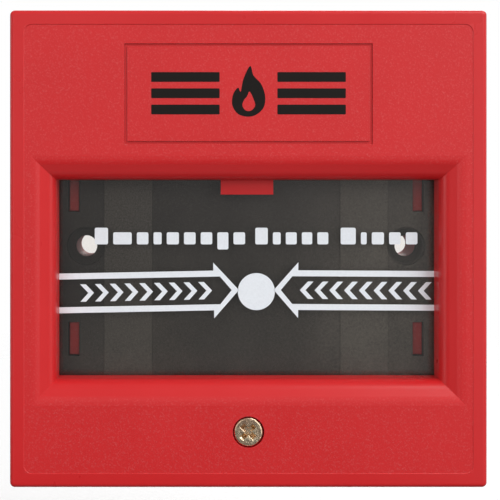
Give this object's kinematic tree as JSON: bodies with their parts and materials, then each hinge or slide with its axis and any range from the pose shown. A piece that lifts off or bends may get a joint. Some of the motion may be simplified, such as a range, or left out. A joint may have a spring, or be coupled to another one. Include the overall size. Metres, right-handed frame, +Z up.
{
  "type": "manual call point",
  "caption": "Square wall-mounted fire call point: bevelled window with a pane that is pressed in, a front cover hinged at the top, and a microswitch and screw terminals inside.",
  "frame": {"origin": "midway between the two wall-screw holes, on the face that meets the wall", "axes": "+Z up, -Y out of the wall towards the user, +X to the user's right, millimetres in the source and metres here"},
  "size_m": [0.086, 0.02, 0.086],
  "materials": {
    "cover_red": "fine spark-eroded grain on the face, smooth satin rim",
    "base_red": "satin moulded plastic",
    "pane_clear": "clear and polished, with a white printed legend",
    "tray_black": "fine matt grain",
    "yellow_zinc": "yellow zinc plate",
    "steel": "zinc-plated",
    "spring_steel": "drawn wire",
    "brass": "machined",
    "contact_bronze": "rolled strip",
    "tinned": "tin plate",
    "rocker_white": "natural acetal",
    "switch_black": "glass-filled plastic",
    "button_red": "smooth",
    "board_green": "solder mask over glass-fibre laminate",
    "terminal_green": "satin moulded plastic"
  },
  "bodies": {
    "base": {"base_plate": "base_red", "inner_tray": "tray_black", "screw_insert": "brass", "rocker_axle": "steel", "return_spring": "spring_steel", "switch_case": "switch_black", "switch_lid": "switch_black", "switch_common_terminal": "contact_bronze", "switch_open_terminal": "contact_bronze", "switch_closed_terminal": "contact_bronze", "switch_screws": "steel", "board_screws": "steel", "circuit_board": "board_green", "terminal_housing": "terminal_green", "terminal_bar_1": "tinned", "terminal_bar_2": "tinned", "terminal_bar_3": "tinned"},
    "cover": {"front_cover": "cover_red"},
    "washer": {"retaining_washer": "steel"},
    "screw": {"cover_screw": "yellow_zinc"},
    "pane": {"break_pane": "pane_clear"},
    "rocker": {"rocker": "rocker_white"},
    "switch_lever": {"switch_lever": "steel"},
    "switch_button": {"switch_button": "button_red"},
    "switch_blade": {"switch_blade": "contact_bronze"},
    "terminal_screw_1": {"terminal_screw_1": "steel"},
    "terminal_clamp_1": {"terminal_clamp_1": "brass"},
    "terminal_screw_2": {"terminal_screw_2": "steel"},
    "terminal_clamp_2": {"terminal_clamp_2": "brass"},
    "terminal_screw_3": {"terminal_screw_3": "steel"},
    "terminal_clamp_3": {"terminal_clamp_3": "brass"}
  },
  "joints": [
    {"name": "cover_hinge", "type": "hinge", "parent": "base", "child": "cover", "pos_m": [0, -0.006, 0.0406], "axis": [-1, 0, 0], "range_deg": [0, 30]},
    {"name": "cover_screw_travel", "type": "slide", "parent": "cover", "child": "washer", "axis": [0, -1, 0], "range_m": [0, 0.0035]},
    {"name": "cover_screw_turn", "type": "hinge", "parent": "washer", "child": "screw", "pos_m": [0, -0.01, -0.033], "axis": [0, -1, 0], "range_deg": [0, 2520]},
    {"name": "pane_press", "type": "hinge", "parent": "cover", "child": "pane", "pos_m": [0, -0.01265, -0.0267], "axis": [-1, 0, 0], "range_deg": [0, 1.15], "stiffness_Nm_per_rad": 1, "springref_deg": -1.15},
    {"name": "rocker_turn", "type": "hinge", "parent": "base", "child": "rocker", "pos_m": [0, -0.012, 0.0215], "axis": [1, 0, 0], "range_deg": [0, 7.5], "deforming": ["return_spring"]},
    {"name": "switch_lever_turn", "type": "hinge", "parent": "base", "child": "switch_lever", "pos_m": [-0.0054, -0.0067, 0.02572], "axis": [0, -1, 0], "range_deg": [0, 3.6]},
    {"name": "switch_button_travel", "type": "slide", "parent": "base", "child": "switch_button", "axis": [0, 0, 1], "range_m": [0, 0.0004]},
    {"name": "switch_blade_turn", "type": "hinge", "parent": "base", "child": "switch_blade", "pos_m": [-0.0049, -0.0067, 0.02795], "axis": [0, -1, 0], "range_deg": [0, 3.5]},
    {"name": "terminal_screw_1_turn", "type": "hinge", "parent": "base", "child": "terminal_screw_1", "pos_m": [0.0129, -0.01, -0.0326], "axis": [0, -1, 0], "range_deg": [0, 1440]},
    {"name": "terminal_clamp_1_travel", "type": "slide", "parent": "base", "child": "terminal_clamp_1", "axis": [0, 1, 0], "range_m": [0, 0.0018]},
    {"name": "terminal_screw_2_turn", "type": "hinge", "parent": "base", "child": "terminal_screw_2", "pos_m": [0.0179, -0.01, -0.0326], "axis": [0, -1, 0], "range_deg": [0, 1440]},
    {"name": "terminal_clamp_2_travel", "type": "slide", "parent": "base", "child": "terminal_clamp_2", "axis": [0, 1, 0], "range_m": [0, 0.0018]},
    {"name": "terminal_screw_3_turn", "type": "hinge", "parent": "base", "child": "terminal_screw_3", "pos_m": [0.0229, -0.01, -0.0326], "axis": [0, -1, 0], "range_deg": [0, 1440]},
    {"name": "terminal_clamp_3_travel", "type": "slide", "parent": "base", "child": "terminal_clamp_3", "axis": [0, 1, 0], "range_m": [0, 0.0018]}
  ],
  "couplings": [
    {"joint": "cover_screw_turn", "follows": "cover_screw_travel", "rad_per_m": 12566},
    {"joint": "rocker_turn", "follows": "pane_press", "ratio": 6},
    {"joint": "switch_lever_turn", "follows": "pane_press", "ratio": 2.85},
    {"joint": "switch_button_travel", "follows": "pane_press", "m_per_rad": 0.0177},
    {"joint": "switch_blade_turn", "follows": "pane_press", "ratio": 2.78},
    {"joint": "terminal_screw_1_turn", "follows": "terminal_clamp_1_travel", "rad_per_m": 13963},
    {"joint": "terminal_screw_2_turn", "follows": "terminal_clamp_2_travel", "rad_per_m": 13963},
    {"joint": "terminal_screw_3_turn", "follows": "terminal_clamp_3_travel", "rad_per_m": 13963}
  ]
}
